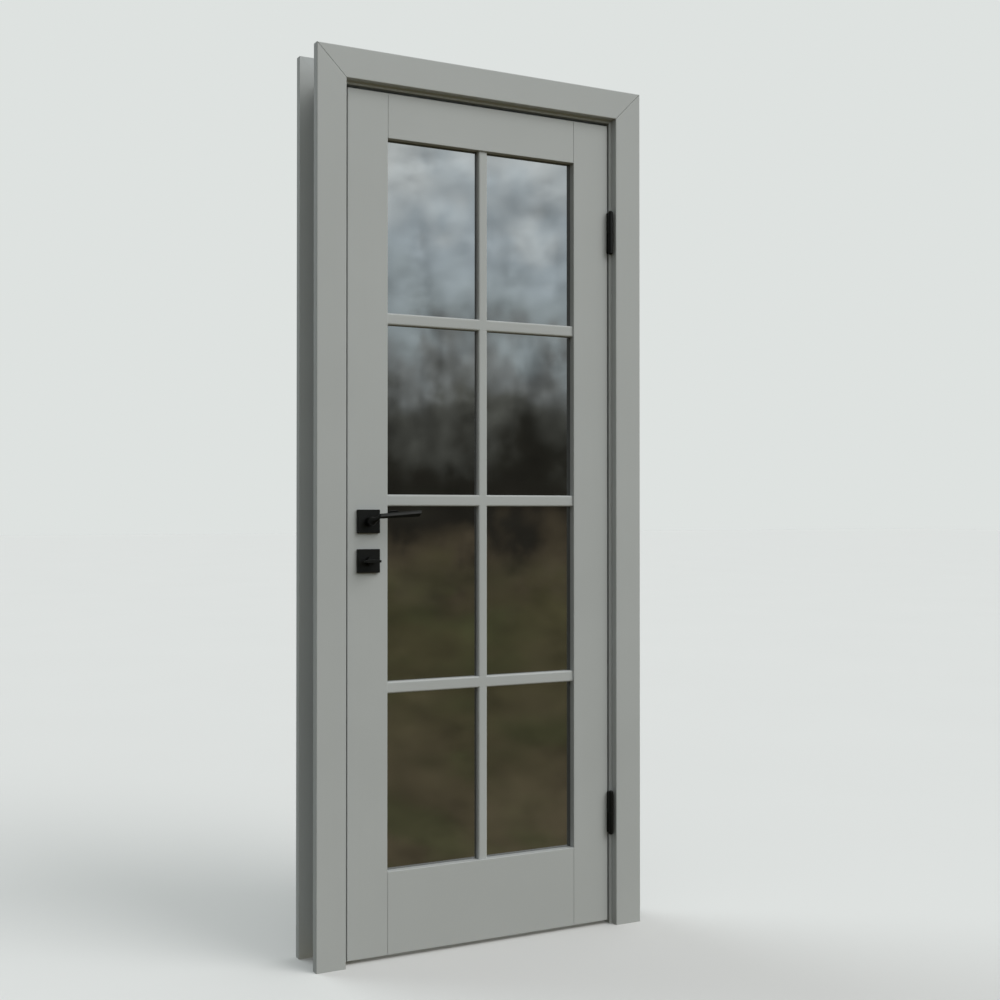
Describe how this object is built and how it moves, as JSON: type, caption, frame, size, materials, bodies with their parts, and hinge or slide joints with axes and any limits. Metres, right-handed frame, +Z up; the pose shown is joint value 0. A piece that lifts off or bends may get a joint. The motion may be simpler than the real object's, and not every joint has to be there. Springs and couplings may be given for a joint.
{
  "type": "glazed interior door set",
  "caption": "Glazed interior door leaf with glazing bars, hung on hinges in a rebated frame with mitred casings, with levers, latch, thumb turn and dead bolt.",
  "frame": {"origin": "on the hinge jamb's back face, at the middle of its depth and at floor level", "axes": "+X along the wall away from the doorway on the hinge side, +Y into the wall away from the side that the leaf opens to, +Z up"},
  "size_m": [0.8665, 0.172, 2.097],
  "materials": {
    "leaf_paint": "satin light grey paint on timber",
    "casing_paint": "satin light grey paint on board",
    "jamb_paint": "satin light grey paint on timber",
    "glass": "dark toughened sheet, polished",
    "seal_rubber": "matt",
    "black_hardware": "matt black powder coat",
    "lock_steel": "brushed"
  },
  "bodies": {
    "frame": {"jamb_hinge_side": "jamb_paint", "jamb_lock_side": "jamb_paint", "jamb_head": "jamb_paint", "seal_hinge_side": "seal_rubber", "seal_lock_side": "seal_rubber", "seal_head": "seal_rubber", "casing_front_hinge_side": "casing_paint", "casing_front_lock_side": "casing_paint", "casing_front_head": "casing_paint", "casing_back_hinge_side": "casing_paint", "casing_back_lock_side": "casing_paint", "casing_back_head": "casing_paint", "strike_plate": "lock_steel", "hinge_lower_frame_flap": "black_hardware", "hinge_upper_frame_flap": "black_hardware", "hinge_lower_pin": "black_hardware", "hinge_upper_pin": "black_hardware"},
    "leaf": {"stile_hinge_side": "leaf_paint", "stile_lock_side": "leaf_paint", "rail_top": "leaf_paint", "rail_bottom": "leaf_paint", "bar_lower": "leaf_paint", "bar_middle": "leaf_paint", "bar_upper": "leaf_paint", "bars_upright": "leaf_paint", "glazing_beads": "leaf_paint", "pane_left_1": "glass", "pane_left_2": "glass", "pane_left_3": "glass", "pane_left_4": "glass", "pane_right_1": "glass", "pane_right_2": "glass", "pane_right_3": "glass", "pane_right_4": "glass", "hinge_lower_leaf_flap": "black_hardware", "hinge_upper_leaf_flap": "black_hardware", "lock_case": "lock_steel", "rose_front": "black_hardware", "rose_back": "black_hardware", "turn_rose_front": "black_hardware", "turn_rose_back": "black_hardware"},
    "handle": {"lever_front": "black_hardware", "lever_back": "black_hardware"},
    "latch": {"latch_bolt": "lock_steel"},
    "turn": {"thumb_turn": "black_hardware"},
    "bolt": {"dead_bolt": "lock_steel"}
  },
  "joints": [
    {"name": "door_swing", "type": "hinge", "parent": "frame", "child": "leaf", "pos_m": [-0.03125, -0.0595, 0.2811], "axis": [0, 0, 1], "range_deg": [0, 170]},
    {"name": "lever_turn", "type": "hinge", "parent": "leaf", "child": "handle", "pos_m": [-0.684, -0.0475, 1.014], "axis": [0, 1, 0], "range_deg": [0, 45], "stiffness_Nm_per_rad": 1.2, "springref_deg": -34.38},
    {"name": "latch_slide", "type": "slide", "parent": "leaf", "child": "latch", "axis": [1, 0, 0], "range_m": [0, 0.0116]},
    {"name": "thumb_turn_turn", "type": "hinge", "parent": "leaf", "child": "turn", "pos_m": [-0.684, -0.0475, 0.923], "axis": [0, 1, 0], "range_deg": [0, 90]},
    {"name": "dead_bolt_slide", "type": "slide", "parent": "leaf", "child": "bolt", "axis": [-1, 0, 0], "range_m": [0, 0.0121]}
  ],
  "couplings": [
    {"joint": "latch_slide", "follows": "lever_turn", "m_per_rad": 0.0146},
    {"joint": "dead_bolt_slide", "follows": "thumb_turn_turn", "m_per_rad": 0.00764}
  ]
}
